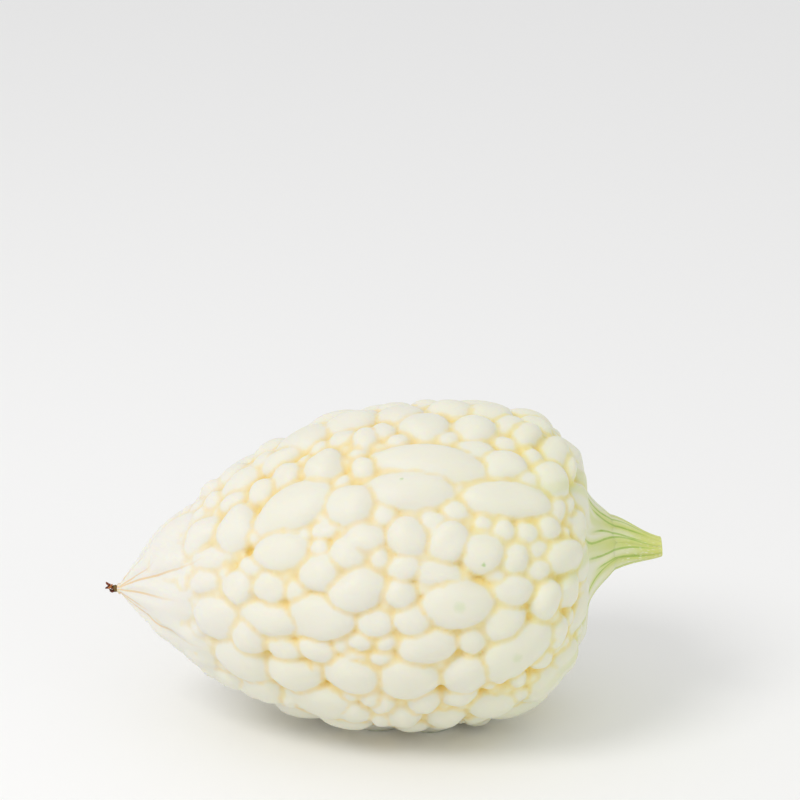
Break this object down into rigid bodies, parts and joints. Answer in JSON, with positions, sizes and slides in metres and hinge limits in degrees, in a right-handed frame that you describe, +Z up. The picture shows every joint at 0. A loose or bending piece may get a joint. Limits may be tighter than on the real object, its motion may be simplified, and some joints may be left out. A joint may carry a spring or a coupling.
{
  "type": "bitter gourd",
  "caption": "Whole white bitter gourd lying on its side: ivory warty fruit, pointed blossom tip, broad shoulder flaring into a ribbed green cut stalk.",
  "frame": {"origin": "on the surface the gourd rests on, under the middle of its box", "axes": "+X along the gourd towards the stalk, +Z up, -Y the side seen from the front"},
  "size_m": [0.1674, 0.1008, 0.0988],
  "materials": {
    "waxy_skin": "satin",
    "green_stalk": "matte",
    "dry_flower": "matte"
  },
  "bodies": {
    "root": {"fruit": "waxy_skin", "stem": "green_stalk", "style_remnant": "dry_flower"}
  },
  "joints": []
}
